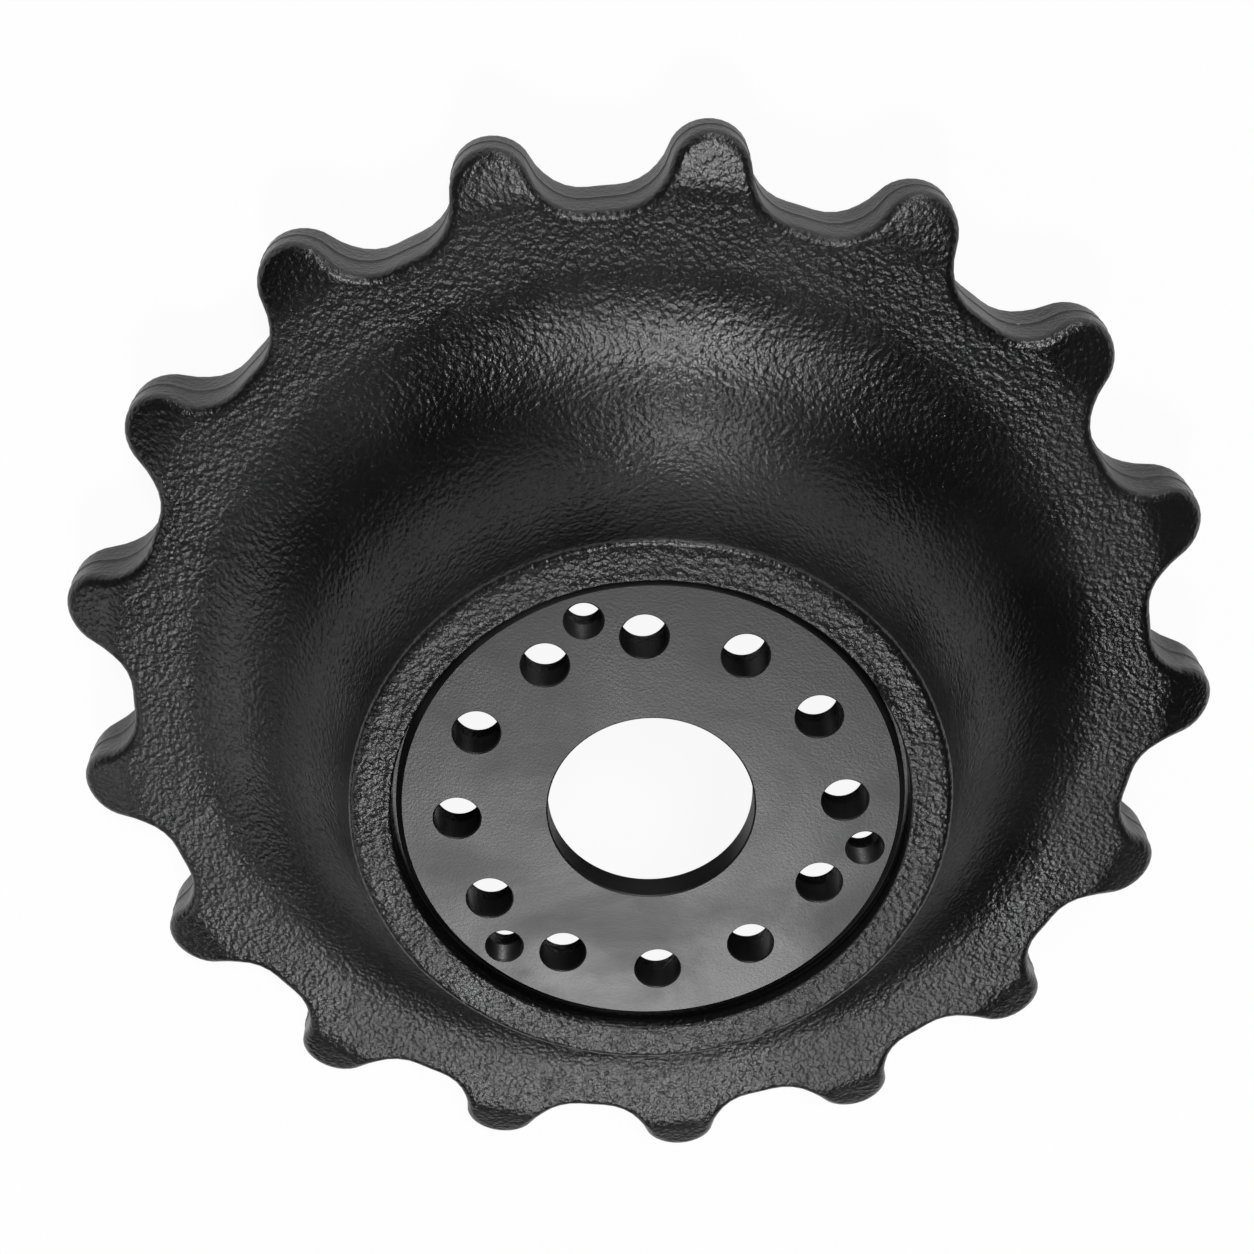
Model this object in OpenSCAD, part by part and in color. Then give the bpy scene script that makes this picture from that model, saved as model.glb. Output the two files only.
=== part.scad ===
// Dished drive sprocket for a tracked machine: one toothed casting with a machined hub plate
// let into its neck. Millimetres. The origin is the centre of the hub's mounting face and +Z is
// the outward normal of that face; the sprocket rests on the back of its toothed rim.

/* [Chain and teeth] */
// Pitch of the track chain, pin to pin
link_pitch = 171.45; // [120:0.05:220]
// Number of teeth; an odd number lets every tooth take its turn on the chain bushings
tooth_count = 17; // [13:2:25]
// Radius of the rounded tooth tip, seen along the axis
tip_arc_r = 14.5; // [10:0.1:18]
// Height of the tip above the pitch circle
tip_addendum = 5.1; // [2:0.1:10]
// Depth of the tooth root below the pitch circle
root_dedendum = 22.3; // [16:0.1:28]
// Radius of the fillet between tooth and root
root_fillet_r = 17; // [12:0.1:20]
// Turn of the first tooth from the first bolt hole, in degrees
tooth_phase = 5.3; // [0:0.1:21]

/* [Toothed rim] */
// Axial thickness of the rim and teeth
rim_t = 37; // [28:0.5:50]
// Distance from the hub's mounting face back to the front of the rim
rim_offset = 84; // [60:0.5:110]
// Radial length of the tapered tooth nose
nose_len = 20.4; // [10:0.1:26]
// Axial drop of the tapered nose on each side of the tooth
nose_drop = 10; // [4:0.1:14]

/* [Dish] */
// Width of the neck ring, from the pilot wall to its outside
ring_w = 16.6; // [12:0.1:24]
// Height of the neck ring above the mounting face
ring_h = 5; // [3:0.1:9]
// Radius on the outer corner of the neck ring
ring_corner_r = 3; // [1:0.1:5]
// Wall thickness of the dish
wall_t = 17; // [12:0.1:22]
// Width of the flat band between the dish and the tooth roots
rim_flat_w = 23; // [14:0.5:36]
// Radial width of the rim's back face inside the tooth roots
back_land_w = 22; // [14:0.5:36]

/* [Hub plate] */
// Radius of the pilot wall that centres on the final drive
pilot_r = 100; // [95:0.1:104]
// Lead-in chamfer on the pilot wall
pilot_chamfer = 1; // [0.5:0.1:1.5]
// Thickness of the hub plate
plate_t = 12; // [9:0.1:16]
// Radius of the central bore
bore_r = 40; // [30:0.1:55]
// Width of the relief groove round the mounting face
relief_w = 1.6; // [1:0.1:3]
// Depth of the relief groove below the mounting face
relief_depth = 4; // [2:0.1:6]
// Depth of the undercut into the pilot wall
undercut = 1.5; // [0.5:0.1:2]
// Chamfer on the rim of the mounting face
face_chamfer = 2.4; // [1:0.1:3]
// Thickness of the casting lip under the plate
lip_t = 6; // [4:0.1:10]
// Land between the bolt holes and the opening in the casting lip
lip_land = 4; // [2:0.1:10]

/* [Bolting] */
// Radius of the bolt circle
bolt_circle_r = 75; // [73:0.1:76]
// Number of bolt holes
bolt_count = 12; // [8:1:14]
// Radius of the clearance hole for the bolts
bolt_hole_r = 9; // [7:0.1:10]
// Distance from the pilot wall in to the circle of threaded jacking holes
jack_inset = 14.3; // [12:0.1:20]
// Number of jacking holes
jack_count = 3; // [2:1:3]
// Radius of the jacking holes at the thread's minor diameter
jack_hole_r = 7; // [5:0.1:7.5]
// Turn of the first jacking hole from the first bolt hole, in degrees
jack_phase = 15; // [14:0.5:16]

/* [Hidden] */
// A bushing sits in every second gap, so the chain pitch spans two tooth pitches.
pitch_r = link_pitch / (2 * sin(2 * 180 / tooth_count));
root_r = pitch_r - root_dedendum;
tip_r = pitch_r + tip_addendum;
tooth_step = 360 / tooth_count;
tip_centre_r = tip_r - tip_arc_r;
fillet_centre_r = root_r + root_fillet_r;
// Angle from a tooth's centreline to the centre of its root fillet, by the cosine rule.
centre_span = tip_arc_r + root_fillet_r;
fillet_angle = acos((pow(tip_centre_r, 2) + pow(fillet_centre_r, 2) - pow(centre_span, 2))
                    / (2 * tip_centre_r * fillet_centre_r));
// Turn between the line back to the axis and the line to the tip centre, at the fillet centre.
fillet_sweep = acos((pow(fillet_centre_r, 2) + pow(centre_span, 2) - pow(tip_centre_r, 2))
                    / (2 * fillet_centre_r * centre_span));
// Half of the tip arc, from the tooth's centreline to where the root fillet takes over.
tip_sweep = fillet_angle + fillet_sweep;
fillet_steps = 7;
tip_steps = 7;

rim_front_z = -rim_offset;
rim_back_z = -rim_offset - rim_t;
rim_mid_z = -rim_offset - rim_t / 2;
crest_r = tip_r + 0.8;
nose_r = tip_r - nose_len;
shoulder_r = tip_r - 4.2;
shoulder_z = nose_drop;
crest_w = 8.4;

neck_r = pilot_r + ring_w;
dish_top_z = ring_h - ring_corner_r;
dish_outer_r = root_r - rim_flat_w;
dish_run = dish_outer_r - neck_r;
dish_fall = dish_top_z - rim_front_z;
// Power of the dish curve: 1 is a quarter ellipse, more is a tighter neck.
dish_power = 1.064;
dish_steps = 16;
inner_first = 4;
inner_last = 14;
back_land_r = root_r - back_land_w;
corner_steps = 3;

face_r = pilot_r - relief_w;
locating_r = pilot_r - 0.1;
undercut_h = 2;
lip_back_z = -plate_t - lip_t;
lip_bore_r = bolt_circle_r - bolt_hole_r - lip_land;
jack_circle_r = pilot_r - jack_inset;
inner_neck_r = neck_r - wall_t;
inner_corner = 8;
bore_chamfer = 0.6;
jack_chamfer = 0.8;
cut_over = 2;
$fa = 4;
$fs = 0.8;

function polar(r, a) = [r * cos(a), r * sin(a)];

// A point of the dish's outer surface, as [radius, height], for a turn of 0 (neck) to 90 (rim).
function dish_point(t) = [
    dish_outer_r - dish_run * pow(cos(t), dish_power),
    dish_top_z - dish_fall * pow(sin(t), dish_power)
];

// The matching point of the inner surface, one wall thickness along the surface normal.
function inner_point(t) = let (
    along = dish_fall * cos(t),
    across = dish_run * sin(t),
    size = sqrt(along * along + across * across)
) dish_point(t) - wall_t / size * [along, across];

function dish_turn(i) = 90 * i / dish_steps;

// Half a tooth on its rising side: root fillet first, then the tip arc up to the centreline.
function rising_fillet(a) = let (centre = polar(fillet_centre_r, a - fillet_angle)) [
    for (i = [0:fillet_steps])
        centre + polar(root_fillet_r, a - fillet_angle + 180 - fillet_sweep * i / fillet_steps)
];

function tip_arc(a) = let (centre = polar(tip_centre_r, a)) [
    for (i = [1:2 * tip_steps - 1])
        centre + polar(tip_arc_r, a - tip_sweep + tip_sweep * i / tip_steps)
];

function falling_fillet(a) = let (centre = polar(fillet_centre_r, a + fillet_angle)) [
    for (i = [fillet_steps:-1:0])
        centre + polar(root_fillet_r, a + fillet_angle + 180 + fillet_sweep * i / fillet_steps)
];

function tooth_outline() = [
    for (k = [0:tooth_count - 1])
        let (a = tooth_phase + k * tooth_step)
            each concat(rising_fillet(a), tip_arc(a), falling_fillet(a),
                        [polar(root_r, a + tooth_step / 2)])
];

// Half section of the casting: neck ring, dish, rim with its tapered nose, and back again.
function casting_section() = concat(
    [
        [lip_bore_r, lip_back_z],
        [lip_bore_r, -plate_t],
        [pilot_r, -plate_t],
        [pilot_r, -undercut_h],
        [pilot_r + undercut, -undercut_h],
        [pilot_r + undercut, 0],
        [pilot_r, 0],
        [pilot_r, ring_h - pilot_chamfer],
        [pilot_r + pilot_chamfer, ring_h]
    ],
    [
        for (i = [0:corner_steps])
            [neck_r - ring_corner_r, dish_top_z]
                + polar(ring_corner_r, 90 - 90 * i / corner_steps)
    ],
    [for (i = [1:dish_steps]) dish_point(dish_turn(i))],
    [
        [nose_r, rim_front_z],
        [shoulder_r, rim_front_z - shoulder_z],
        [crest_r, rim_mid_z + crest_w / 2],
        [crest_r, rim_mid_z - crest_w / 2],
        [shoulder_r, rim_back_z + shoulder_z],
        [nose_r, rim_back_z],
        [back_land_r, rim_back_z]
    ],
    [for (i = [inner_last:-1:inner_first]) inner_point(dish_turn(i))],
    [
        [inner_neck_r, lip_back_z - inner_corner],
        [inner_neck_r - inner_corner, lip_back_z]
    ]
);

module hole_circle(circle_r, count, phase, hole_r, z_low, z_high) {
    for (i = [0:count - 1])
        rotate([0, 0, phase + i * 360 / count])
            translate([circle_r, 0, z_low])
                cylinder(r = hole_r, h = z_high - z_low);
}

// Everything outside the tooth outline, over the thickness of the rim.
module tooth_gaps() {
    translate([0, 0, rim_back_z - cut_over])
        linear_extrude(height = rim_t + 2 * cut_over)
            difference() {
                circle(r = crest_r + 10);
                polygon(tooth_outline());
            }
}

module dished_casting() {
    color([0.03, 0.03, 0.032])
        difference() {
            rotate_extrude()
                polygon(casting_section());
            tooth_gaps();
            hole_circle(bolt_circle_r, bolt_count, 0, bolt_hole_r,
                        lip_back_z - cut_over, cut_over - plate_t);
            hole_circle(jack_circle_r, jack_count, jack_phase, jack_hole_r,
                        lip_back_z - inner_corner - cut_over, cut_over - plate_t);
        }
}

module hub_plate() {
    color([0.12, 0.12, 0.125])
        difference() {
            rotate_extrude()
                polygon([
                    [bore_r, -plate_t],
                    [locating_r, -plate_t],
                    [locating_r, -relief_depth],
                    [face_r, -relief_depth],
                    [face_r, -face_chamfer],
                    [face_r - face_chamfer, 0],
                    [bore_r + bore_chamfer, 0],
                    [bore_r, -bore_chamfer]
                ]);
            hole_circle(bolt_circle_r, bolt_count, 0, bolt_hole_r,
                        -plate_t - cut_over, cut_over);
            hole_circle(jack_circle_r, jack_count, jack_phase, jack_hole_r,
                        -plate_t - cut_over, cut_over);
            for (i = [0:jack_count - 1])
                rotate([0, 0, jack_phase + i * 360 / jack_count])
                    translate([jack_circle_r, 0, -jack_chamfer])
                        cylinder(r1 = jack_hole_r, r2 = jack_hole_r + jack_chamfer + cut_over,
                                 h = jack_chamfer + cut_over);
        }
}

dished_casting();
hub_plate();
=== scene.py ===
import math
import bmesh
import bpy
from mathutils import Matrix, Vector, noise


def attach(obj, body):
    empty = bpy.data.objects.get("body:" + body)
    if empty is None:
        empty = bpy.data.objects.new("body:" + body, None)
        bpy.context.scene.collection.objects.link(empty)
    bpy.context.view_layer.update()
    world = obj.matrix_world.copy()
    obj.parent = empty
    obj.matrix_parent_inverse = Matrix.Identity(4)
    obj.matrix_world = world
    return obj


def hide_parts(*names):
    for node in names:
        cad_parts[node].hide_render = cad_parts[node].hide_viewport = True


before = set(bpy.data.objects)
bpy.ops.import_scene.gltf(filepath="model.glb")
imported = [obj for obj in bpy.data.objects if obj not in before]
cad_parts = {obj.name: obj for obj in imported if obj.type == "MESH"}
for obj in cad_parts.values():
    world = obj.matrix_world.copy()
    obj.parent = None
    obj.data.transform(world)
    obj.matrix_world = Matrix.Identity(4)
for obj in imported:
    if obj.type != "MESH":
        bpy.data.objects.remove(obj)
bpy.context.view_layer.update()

# ---------------------------------------------------------------------------------------------
# Toothed and dished casting: one steel sand casting under gloss black paint. Seventeen rounded
# chain teeth run round a deep dish, whose neck ends in a ring with a machined recess and, inside
# it, the drilled lip that the hub plate seats on. A mould parting line runs round the teeth.
MM = 0.001
QUARTER = math.pi / 2
TEETH = 17
LINK_PITCH = 171.45 * MM
PITCH_R = LINK_PITCH / (2 * math.sin(2 * math.pi / TEETH))
ROOT_R = PITCH_R - 23.8 * MM
TIP_R = PITCH_R + 5.1 * MM
TIP_ARC_R = 16.3 * MM
ROOT_FILLET_R = 21.5 * MM
TOOTH_STEP = 2 * math.pi / TEETH
FIRST_TOOTH = math.radians(5.65)
TIP_CENTRE_R = TIP_R - TIP_ARC_R
FILLET_CENTRE_R = ROOT_R + ROOT_FILLET_R
CENTRE_SPAN = TIP_ARC_R + ROOT_FILLET_R
FILLET_ANGLE = math.acos((TIP_CENTRE_R ** 2 + FILLET_CENTRE_R ** 2 - CENTRE_SPAN ** 2)
                         / (2 * TIP_CENTRE_R * FILLET_CENTRE_R))
FILLET_SWEEP = math.acos((FILLET_CENTRE_R ** 2 + CENTRE_SPAN ** 2 - TIP_CENTRE_R ** 2)
                         / (2 * FILLET_CENTRE_R * CENTRE_SPAN))
TIP_SWEEP = FILLET_ANGLE + FILLET_SWEEP

# How many steps each stretch of half a tooth gets: root, root fillet, tip arc.
ROOT_STEPS, FILLET_STEPS, TIP_STEPS = 3, 6, 7
HALF_TOOTH = ROOT_STEPS + FILLET_STEPS + TIP_STEPS
AROUND = 2 * HALF_TOOTH * TEETH

RIM_FRONT = -81.5 * MM
RIM_BACK = -121 * MM
RIM_MIDDLE = (RIM_FRONT + RIM_BACK) / 2
EDGE_R = 4.2 * MM
NOSE_START = 222 * MM
NOSE_SLOPE = 0.40
NOSE_BLEND = 1.5 * MM
PARTING_PROUD = 0.3 * MM
PARTING_HALF = 0.5 * MM

NECK_R = 116.6 * MM
RING_TOP = 5 * MM
RING_CORNER = 3 * MM
DISH_OUTER_R = 192 * MM
DISH_TOP = RING_TOP - RING_CORNER
DISH_POWER = 1.064
WALL = 17 * MM
BACK_LAND_R = 193 * MM
PILOT_R = 100 * MM
UNDERCUT_R = 101.5 * MM
PLATE_T = 12 * MM
LIP_BACK = -18 * MM
LIP_BORE_R = 62 * MM
LIP_FLAT_R = 72 * MM
LIP_CHAMFER = 1 * MM
INNER_CORNER = 8 * MM
UNDERCUT_LENGTH = 2 * MM
RING_EDGE = 1.0 * MM
RING_EDGE_MIDDLE = Vector((0.35 * MM, 0.3 * MM))
RING_FLAT_RADII = (102.5 * MM, 105 * MM, 108 * MM, 111 * MM)
BACK_EDGE = ((3 * MM, 0), (1 * MM, 0.8 * MM), (-0.2 * MM, 3 * MM))

# How many stations each stretch of the section gets.
CORNER_STATIONS = 4
DISH_STATIONS = 28
FRONT_STATIONS = 10
EDGE_STATIONS = 5
BACK_STATIONS = 8
INSIDE_STATIONS = range(22, 4, -1)
INSIDE_QUARTER = 26
INNER_CORNER_STATIONS = 5
FLANK_SHARES = (0.75, 0.5, 0.25)
WELD_GAP = 0.02 * MM


def polar(radius, angle):
    return Vector((radius * math.cos(angle), radius * math.sin(angle)))


def even_angle(step):
    return FIRST_TOOTH - TOOTH_STEP / 2 + step * 2 * math.pi / AROUND


def tooth_edge(step, inset):
    """The tooth outline at one step round the rim, drawn in by inset along its normal."""
    tooth, part = divmod(step, 2 * HALF_TOOTH)
    rising = part <= HALF_TOOTH
    part = part if rising else 2 * HALF_TOOTH - part
    if part <= ROOT_STEPS:
        angle = -TOOTH_STEP / 2 + (TOOTH_STEP / 2 - FILLET_ANGLE) * part / ROOT_STEPS
        point = polar(ROOT_R - inset, angle)
    elif part <= ROOT_STEPS + FILLET_STEPS:
        turn = FILLET_SWEEP * (part - ROOT_STEPS) / FILLET_STEPS
        point = polar(FILLET_CENTRE_R, -FILLET_ANGLE)
        point += polar(ROOT_FILLET_R + inset, math.pi - FILLET_ANGLE - turn)
    else:
        turn = TIP_SWEEP * (HALF_TOOTH - part) / TIP_STEPS
        point = polar(TIP_CENTRE_R, 0) + polar(TIP_ARC_R - inset, -turn)
    if not rising:
        point.y = -point.y
    point.rotate(Matrix.Rotation(FIRST_TOOTH + tooth * TOOTH_STEP, 2))
    return point


def nose_drop(radius):
    """How far the tapered tooth nose has dropped from the rim's face at this radius."""
    beyond = radius - NOSE_START
    if beyond < -NOSE_BLEND:
        return 0.0
    if beyond < NOSE_BLEND:
        return NOSE_SLOPE * (beyond + NOSE_BLEND) ** 2 / (4 * NOSE_BLEND)
    return NOSE_SLOPE * beyond


def front_height(radius):
    return RIM_FRONT - nose_drop(radius)


def back_height(radius):
    return RIM_BACK + nose_drop(radius)


def hoop(radius, height):
    """A station of the casting that is a plain circle."""
    return lambda step: (*polar(radius, even_angle(step)), height)


def face_loop(share, start_r, height_at):
    """A station on a flat rim face, share of the way from a circle to the rounded tooth edge."""
    def place(step):
        edge = tooth_edge(step, EDGE_R)
        point = polar(start_r, even_angle(step)).lerp(edge, share)
        return (*point, height_at(point.length))
    return place


def edge_loop(turn, height_at, side):
    """A station on the rounded edge between a rim face and the tooth flanks."""
    def place(step):
        point = tooth_edge(step, PARTING_PROUD + EDGE_R * (1 - math.sin(turn)))
        return (*point, height_at(point.length) + side * EDGE_R * (1 - math.cos(turn)))
    return place


def flank_station(share, height_at, side):
    """A station on the flank, share of the way from the parting line out to the rounded edge."""
    def place(step):
        point = tooth_edge(step, PARTING_PROUD)
        edge_height = height_at(point.length) + side * EDGE_R
        line_height = RIM_MIDDLE - side * PARTING_HALF
        return (*point, line_height + (edge_height - line_height) * share)
    return place


def parting_loop(side, proud):
    """A station beside or on the parting line, at a fixed distance from mid-thickness."""
    def place(step):
        point = tooth_edge(step, PARTING_PROUD - proud)
        return (*point, RIM_MIDDLE + side * PARTING_HALF)
    return place


def dish_point(turn):
    return Vector((
        DISH_OUTER_R - (DISH_OUTER_R - NECK_R) * math.cos(turn) ** DISH_POWER,
        DISH_TOP - (DISH_TOP - RIM_FRONT) * math.sin(turn) ** DISH_POWER,
    ))


def inner_point(turn):
    along = Vector(((DISH_TOP - RIM_FRONT) * math.cos(turn), (DISH_OUTER_R - NECK_R) * math.sin(turn)))
    return dish_point(turn) - along.normalized() * WALL


def stations():
    """The casting's section in order: seat, recess, ring, dish, rim front, flank, rim back, inside."""
    yield hoop(LIP_BORE_R, -PLATE_T)
    yield hoop(PILOT_R, -PLATE_T)
    yield hoop(PILOT_R, -UNDERCUT_LENGTH)
    yield hoop(UNDERCUT_R, -UNDERCUT_LENGTH)
    yield hoop(UNDERCUT_R, 0)
    yield hoop(PILOT_R, 0)
    yield hoop(PILOT_R, RING_TOP - RING_EDGE)
    yield hoop(PILOT_R + RING_EDGE_MIDDLE.x, RING_TOP - RING_EDGE_MIDDLE.y)
    yield hoop(PILOT_R + RING_EDGE, RING_TOP)
    for radius in RING_FLAT_RADII:
        yield hoop(radius, RING_TOP)
    corner = Vector((NECK_R - RING_CORNER, DISH_TOP))
    for i in range(CORNER_STATIONS + 1):
        yield hoop(*(corner + polar(RING_CORNER, QUARTER * (1 - i / CORNER_STATIONS))))
    for i in range(1, DISH_STATIONS + 1):
        yield hoop(*dish_point(QUARTER * i / DISH_STATIONS))
    for i in range(1, FRONT_STATIONS + 1):
        yield face_loop(i / FRONT_STATIONS, DISH_OUTER_R, front_height)
    for i in range(1, EDGE_STATIONS + 1):
        yield edge_loop(QUARTER * i / EDGE_STATIONS, front_height, -1)
    for share in FLANK_SHARES:
        yield flank_station(share, front_height, -1)
    yield parting_loop(1, 0)
    yield parting_loop(0, PARTING_PROUD)
    yield parting_loop(-1, 0)
    for share in reversed(FLANK_SHARES):
        yield flank_station(share, back_height, 1)
    for i in range(EDGE_STATIONS, 0, -1):
        yield edge_loop(QUARTER * i / EDGE_STATIONS, back_height, 1)
    for i in range(BACK_STATIONS, 0, -1):
        yield face_loop(i / BACK_STATIONS, BACK_LAND_R + BACK_EDGE[0][0], back_height)
    for outward, inward in BACK_EDGE:
        yield hoop(BACK_LAND_R + outward, RIM_BACK + inward)
    for i in INSIDE_STATIONS:
        yield hoop(*inner_point(QUARTER * i / INSIDE_QUARTER))
    corner = Vector((NECK_R - WALL - INNER_CORNER, LIP_BACK - INNER_CORNER))
    for i in range(INNER_CORNER_STATIONS + 1):
        yield hoop(*(corner + polar(INNER_CORNER, QUARTER * i / INNER_CORNER_STATIONS)))
    yield hoop(LIP_FLAT_R, LIP_BACK)
    yield hoop(LIP_BORE_R + LIP_CHAMFER, LIP_BACK)
    yield hoop(LIP_BORE_R, LIP_BACK + LIP_CHAMFER)


def loft(mesh, places):
    """Grows one closed skin by drawing a loop of edges out through every station in turn."""
    index = mesh.verts.layers.int.new("step")
    loop = bmesh.ops.create_circle(mesh, segments=AROUND, radius=1)["verts"]
    for step, vert in enumerate(loop):
        vert[index] = step
    for vert in loop:
        vert.co = places[0](vert[index])
    edges = list(mesh.edges)
    for place in places[1:] + places[:1]:
        grown = bmesh.ops.extrude_edge_only(mesh, edges=edges)["geom"]
        fresh = [g for g in grown if isinstance(g, bmesh.types.BMVert)]
        edges = [g for g in grown if isinstance(g, bmesh.types.BMEdge)]
        for vert in fresh:
            vert.co = place(vert[index])
    bmesh.ops.remove_doubles(mesh, verts=mesh.verts, dist=WELD_GAP)
    bmesh.ops.recalc_face_normals(mesh, faces=mesh.faces)


casting_mesh = bmesh.new()
loft(casting_mesh, list(stations()))

# The mould leaves the skin slightly wavy everywhere that no tool has cut. The wave only ever
# takes metal away, so the casting stays inside its nominal size.
casting_mesh.normal_update()
WAVE_DEPTH = 0.5 * MM
BROAD_WAVE, FINE_WAVE = 28, 70
FINE_SHIFT = Vector((3, 1, 7))
CUT_MARGIN_R = 0.5 * MM
CUT_MARGIN_Z = 1 * MM
for vert in casting_mesh.verts:
    reach = vert.co.xy.length
    if reach < UNDERCUT_R + CUT_MARGIN_R and vert.co.z > LIP_BACK - CUT_MARGIN_Z:
        continue
    wave = noise.noise(vert.co * BROAD_WAVE)
    wave += 0.5 * noise.noise(vert.co * FINE_WAVE + FINE_SHIFT)
    vert.co -= vert.normal * WAVE_DEPTH * max(0.0, 0.5 + 0.5 * wave)

casting_data = bpy.data.meshes.new("toothed_dish_casting")
casting_mesh.to_mesh(casting_data)
casting_mesh.free()
casting = bpy.data.objects.new("toothed_dish_casting", casting_data)
bpy.context.collection.objects.link(casting)

# Twelve bolt holes and three jacking holes pass through the lip behind the plate.
BOLT_R, BOLT_CIRCLE_R, BOLTS = 9 * MM, 75 * MM, 12
JACK_R, JACK_CIRCLE_R, JACKS = 7 * MM, 85.7 * MM, 3
JACK_PHASE = math.radians(15)
DRILL_LENGTH = 40 * MM
DRILL_MIDDLE = LIP_BACK - 10 * MM
HOLE_SEGMENTS = 48
BOLT_SPOTS = [polar(BOLT_CIRCLE_R, 2 * math.pi * i / BOLTS) for i in range(BOLTS)]
JACK_SPOTS = [polar(JACK_CIRCLE_R, JACK_PHASE + 2 * math.pi * i / JACKS) for i in range(JACKS)]
drills = bmesh.new()
for radius, spots in ((BOLT_R, BOLT_SPOTS), (JACK_R, JACK_SPOTS)):
    for spot in spots:
        bmesh.ops.create_cone(
            drills, cap_ends=True, segments=HOLE_SEGMENTS, radius1=radius, radius2=radius,
            depth=DRILL_LENGTH, matrix=Matrix.Translation((*spot, DRILL_MIDDLE)))
drill_data = bpy.data.meshes.new("drills")
drills.to_mesh(drill_data)
drills.free()
drill = bpy.data.objects.new("drills", drill_data)
bpy.context.collection.objects.link(drill)
cut = casting.modifiers.new("lip_holes", "BOOLEAN")
cut.operation = "DIFFERENCE"
cut.solver = "EXACT"
cut.object = drill
drilled = bpy.data.meshes.new_from_object(
    casting.evaluated_get(bpy.context.evaluated_depsgraph_get()))
casting.modifiers.clear()
casting.data = drilled
drilled.name = "toothed_dish_casting"
bpy.data.objects.remove(drill)
drilled.shade_smooth()
CAST_SHARP = math.radians(38)
drilled.set_sharp_from_angle(angle=CAST_SHARP)


class Wire:
    """One value in a material's nodes. Python's operators on it add Math nodes."""

    def __init__(self, tree, socket):
        self.tree = tree
        self.socket = socket

    def node(self, kind, inputs, settings=None, out=0):
        """Any node: its type, the values or wires of its inputs, and its settings, set first."""
        made = self.tree.nodes.new(kind)
        for name, value in (settings or {}).items():
            setattr(made, name, value)
        for name, value in inputs.items():
            if isinstance(value, Wire):
                self.tree.links.new(value.socket, made.inputs[name])
            else:
                made.inputs[name].default_value = value
        return Wire(self.tree, made.outputs[out])

    def maths(self, operation, other):
        return self.node("ShaderNodeMath", {0: self, 1: other}, {"operation": operation})

    def __add__(self, other):
        return self.maths("ADD", other)

    def __mul__(self, other):
        return self.maths("MULTIPLY", other)

    __radd__ = __add__
    __rmul__ = __mul__

    def between(self, low, high):
        """0 below low, 1 above high, and a smooth step between them."""
        return self.node("ShaderNodeMapRange", {"Value": self, "From Min": low, "From Max": high},
                         {"interpolation_type": "SMOOTHSTEP"})

    def tint(self, low, high):
        """A colour between two, by this value."""
        return self.node("ShaderNodeMix", {0: self, 6: (*low, 1), 7: (*high, 1)},
                         {"data_type": "RGBA"}, 2)


def new_finish(name):
    """A material with an empty Principled shader, and a wire of object coordinates."""
    finish = bpy.data.materials.new(name)
    finish.use_nodes = True
    tree = finish.node_tree
    shader = tree.nodes["Principled BSDF"]
    place = Wire(tree, None).node("ShaderNodeTexCoord", {}, out="Object")
    return finish, shader, place


# Gloss black paint over a sand-cast skin: an orange-peel grain of one to two millimetres that
# breaks every highlight into sparks, slow waves under it, and a dustier film in random patches.
GRAIN_DEPTH = 0.6 * MM
cast_paint, cast_shader, cast_at = new_finish("gloss_black_on_casting")
grain = cast_at.node("ShaderNodeTexNoise", {"Vector": cast_at, "Scale": 620.0, "Detail": 2.5,
                                            "Roughness": 0.55})
blister = cast_at.node("ShaderNodeTexVoronoi",
                       {"Vector": cast_at, "Scale": 420.0, "Smoothness": 0.6},
                       {"feature": "SMOOTH_F1"})
lump = cast_at.node("ShaderNodeTexNoise", {"Vector": cast_at, "Scale": 90.0, "Detail": 2.0})
dust = cast_at.node("ShaderNodeTexNoise", {"Vector": cast_at, "Scale": 14.0, "Detail": 4.0})
cast_height = grain * 0.65 + blister * 0.45 + lump * 0.45
skin = cast_at.node("ShaderNodeBump",
                    {"Strength": 1.0, "Distance": GRAIN_DEPTH, "Height": cast_height})
cast_black = dust.between(0.35, 0.7).tint((0.002, 0.002, 0.0021), (0.006, 0.006, 0.0063))
cast_rough = 0.26 + dust.between(0.3, 0.75) * 0.10
cast_links = cast_paint.node_tree.links
cast_links.new(cast_black.socket, cast_shader.inputs["Base Color"])
cast_links.new(cast_rough.socket, cast_shader.inputs["Roughness"])
cast_links.new(skin.socket, cast_shader.inputs["Normal"])
casting.data.materials.clear()
casting.data.materials.append(cast_paint)
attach(casting, "root")
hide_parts("dished_casting")

# ---------------------------------------------------------------------------------------------
# Hub plate: a steel disc turned and drilled, let into the neck ring and under a thin satin
# black coat. Its chamfered face stands inside a relief groove, and three of its holes are
# threaded for jacking screws.
FACE_R = 98.4 * MM
FACE_CHAMFER = 2.4 * MM
LOCATING_R = 99.9 * MM
RELIEF_DEPTH = 4 * MM
BORE_R = 40 * MM
BORE_CHAMFER = 0.6 * MM
BOLT_CHAMFER = 0.5 * MM
JACK_CHAMFER = 0.8 * MM
THREAD_PITCH = 2 * MM
THREAD_DEPTH = 0.9 * MM
THREAD_SHARES = ((0.45, THREAD_DEPTH), (0.55, THREAD_DEPTH), (0.95, 0))
FACE_SEGMENTS = 256
BORE_SEGMENTS = 128
PLATE_SHARP = math.radians(25)

plate_mesh = bmesh.new()


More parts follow.
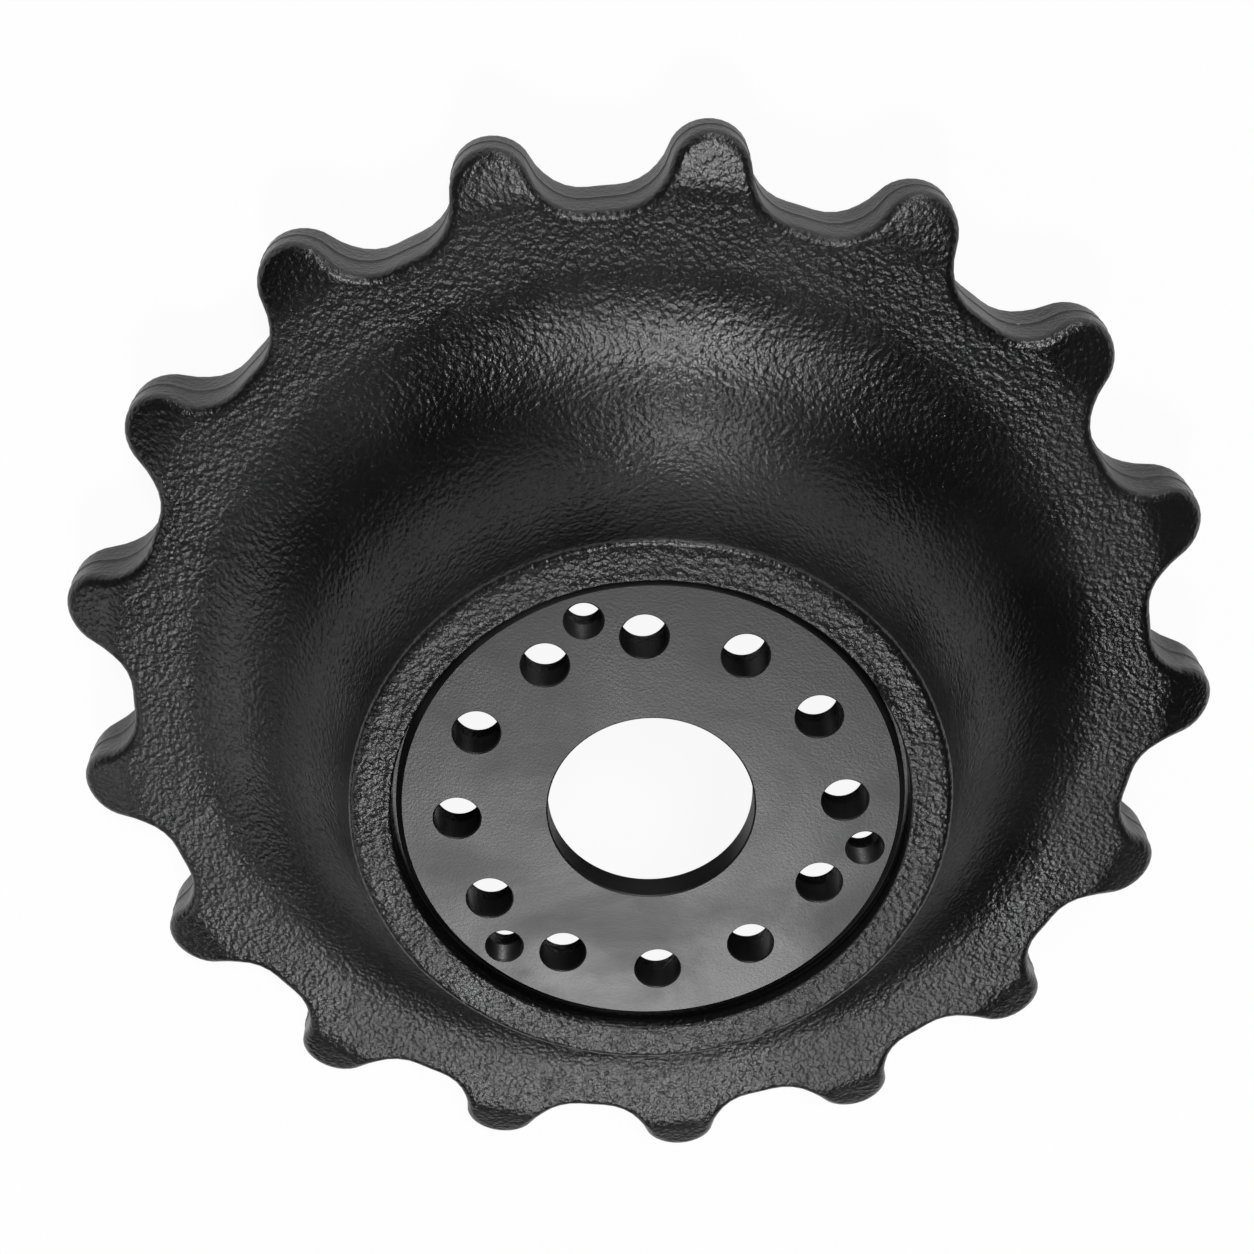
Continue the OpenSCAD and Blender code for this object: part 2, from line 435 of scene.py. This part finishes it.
def sink(mesh, edges, centre, steps):
    """Draws a loop of edges down through a list of (radius, height) steps."""
    for radius, height in steps:
        grown = bmesh.ops.extrude_edge_only(mesh, edges=edges)["geom"]
        edges = [g for g in grown if isinstance(g, bmesh.types.BMEdge)]
        for vert in (g for g in grown if isinstance(g, bmesh.types.BMVert)):
            arm = (vert.co.xy - centre).normalized() * radius
            vert.co = (*(centre + arm), height)
    return edges


def circle(mesh, segments, radius, centre):
    made = bmesh.ops.create_circle(mesh, segments=segments, radius=radius,
                                   matrix=Matrix.Translation((*centre, 0)))["verts"]
    return list({edge for vert in made for edge in vert.link_edges})


middle = Vector((0, 0))
thread = [(JACK_R, -JACK_CHAMFER)]
for groove in range(int((PLATE_T - JACK_CHAMFER) / THREAD_PITCH)):
    top = -JACK_CHAMFER - groove * THREAD_PITCH
    thread += [(JACK_R + deep, top - share * THREAD_PITCH) for share, deep in THREAD_SHARES]
thread.append((JACK_R, -PLATE_T))
outline = [(FACE_SEGMENTS, FACE_R - FACE_CHAMFER, middle,
            [(FACE_R, -FACE_CHAMFER), (FACE_R, -RELIEF_DEPTH), (LOCATING_R, -RELIEF_DEPTH),
             (LOCATING_R, -PLATE_T)]),
           (BORE_SEGMENTS, BORE_R + BORE_CHAMFER, middle,
            [(BORE_R, -BORE_CHAMFER), (BORE_R, -PLATE_T)])]
outline += [(HOLE_SEGMENTS, BOLT_R + BOLT_CHAMFER, spot,
             [(BOLT_R, -BOLT_CHAMFER), (BOLT_R, -PLATE_T)]) for spot in BOLT_SPOTS]
outline += [(HOLE_SEGMENTS, JACK_R + JACK_CHAMFER, spot, thread) for spot in JACK_SPOTS]
rims = [circle(plate_mesh, segments, radius, centre) for segments, radius, centre, _ in outline]
bmesh.ops.triangle_fill(plate_mesh, use_beauty=True, edges=[e for rim in rims for e in rim],
                        normal=(0, 0, 1))
feet = []
for rim, (_, _, centre, steps) in zip(rims, outline):
    feet += sink(plate_mesh, rim, centre, steps)
bmesh.ops.triangle_fill(plate_mesh, use_beauty=True, edges=feet, normal=(0, 0, -1))
bmesh.ops.recalc_face_normals(plate_mesh, faces=plate_mesh.faces)
plate_data = bpy.data.meshes.new("drilled_hub_plate")
plate_mesh.to_mesh(plate_data)
plate_mesh.free()
plate_data.shade_smooth()
plate_data.set_sharp_from_angle(angle=PLATE_SHARP)
plate = bpy.data.objects.new("drilled_hub_plate", plate_data)
bpy.context.collection.objects.link(plate)

# Satin black over turned steel: a fine peel of one millimetre, and cloudy patches that vary both
# its grey and its shine.
PEEL_DEPTH = 0.12 * MM
plate_paint, plate_shader, plate_at = new_finish("satin_black_on_turned_steel")
peel = plate_at.node("ShaderNodeTexNoise", {"Vector": plate_at, "Scale": 900.0, "Detail": 2.0})
sweep = plate_at.node("ShaderNodeTexNoise", {"Vector": plate_at, "Scale": 60.0, "Detail": 3.0})
cloud = plate_at.node("ShaderNodeTexNoise", {"Vector": plate_at, "Scale": 16.0, "Detail": 5.0,
                                             "Distortion": 1.2})
plate_height = peel * 0.35 + sweep * 0.6
coat = plate_at.node("ShaderNodeBump",
                     {"Strength": 1.0, "Distance": PEEL_DEPTH, "Height": plate_height})
plate_grey = cloud.between(0.3, 0.75).tint((0.006, 0.006, 0.0063), (0.018, 0.018, 0.0185))
plate_rough = 0.30 + cloud.between(0.3, 0.8) * 0.12
plate_links = plate_paint.node_tree.links
plate_links.new(plate_grey.socket, plate_shader.inputs["Base Color"])
plate_links.new(plate_rough.socket, plate_shader.inputs["Roughness"])
plate_links.new(coat.socket, plate_shader.inputs["Normal"])
plate.data.materials.append(plate_paint)
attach(plate, "root")
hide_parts("hub_plate")

# ---------------------------------------------------------------------------------------------
# Studio: a pale floor that the rim lies on, soft lamps, and a long lens above one side. The lens
# sees the floor mostly as plain white, with a little of its real light and shade left in it.
FLOOR_RADIUS = 6
FLOOR_GAP = 0.2 * MM
SEEN_WHITE = 0.93
floor_mesh = bmesh.new()
bmesh.ops.create_circle(floor_mesh, cap_ends=True, segments=64, radius=FLOOR_RADIUS,
                        matrix=Matrix.Translation((0, 0, RIM_BACK - FLOOR_GAP)))
floor_data = bpy.data.meshes.new("studio_floor")
floor_mesh.to_mesh(floor_data)
floor_mesh.free()
floor = bpy.data.objects.new("studio_floor", floor_data)
bpy.context.collection.objects.link(floor)
floor_paint, floor_shader, floor_at = new_finish("pale_floor")
floor_shader.inputs["Base Color"].default_value = (0.95, 0.95, 0.95, 1)
floor_shader.inputs["Roughness"].default_value = 0.9
floor_shader.inputs["Specular IOR Level"].default_value = 0.0
sight = floor_at.node("ShaderNodeLightPath", {})
glow = floor_at.node("ShaderNodeEmission", {"Strength": 1.0})
plain = Wire(floor_paint.node_tree, floor_shader.outputs["BSDF"])
lit = floor_at.node("ShaderNodeMixShader", {0: sight * SEEN_WHITE, 1: plain, 2: glow})
floor_end = floor_paint.node_tree.nodes["Material Output"]
floor_paint.node_tree.links.new(lit.socket, floor_end.inputs["Surface"])
floor.data.materials.append(floor_paint)

# Each lamp: its name, the direction it shines from, its strength and its spread in degrees.
for name, toward, strength, spread in (
        ("far_lamp", (0.31, -0.54, 0.78), 0.95, 14),
        ("near_lamp", (-0.17, 0.58, 0.79), 1.5, 14),
        ("lens_side_lamp", (-0.15, 0.37, 0.92), 0.5, 20),
        ("left_lamp", (-0.39, -0.71, 0.59), 0.45, 30),
        ("low_lamp", (-0.26, 0.95, 0.15), 0.8, 16)):
    lamp_data = bpy.data.lights.new(name, "SUN")
    lamp_data.energy = strength
    lamp_data.angle = math.radians(spread)
    lamp = bpy.data.objects.new(name, lamp_data)
    lamp.rotation_euler = Vector(toward).to_track_quat("Z", "Y").to_euler()
    bpy.context.collection.objects.link(lamp)

world = bpy.data.worlds.new("studio")
world.use_nodes = True
world.node_tree.nodes["Background"].inputs["Color"].default_value = (0.035, 0.035, 0.035, 1)
bpy.context.scene.world = world

LENS_PLACE = Vector((-0.2374, 0.3889, 0.7354))
LENS_RIGHT = Vector((0.8844, 0.4660, 0.0263)).normalized()
LENS_UP = Vector((-0.4046, 0.7935, -0.4546))
LENS_BACK = LENS_RIGHT.cross(LENS_UP).normalized()
LENS_LENGTH = 64.13
camera_data = bpy.data.cameras.new("long_lens")
camera_data.lens = LENS_LENGTH
camera_data.clip_start = 0.01
camera = bpy.data.objects.new("long_lens", camera_data)
facing = Matrix((LENS_RIGHT, LENS_BACK.cross(LENS_RIGHT), LENS_BACK)).transposed().to_4x4()
camera.matrix_world = Matrix.Translation(LENS_PLACE) @ facing
bpy.context.collection.objects.link(camera)
bpy.context.scene.camera = camera
bpy.context.scene.view_settings.view_transform = "Standard"
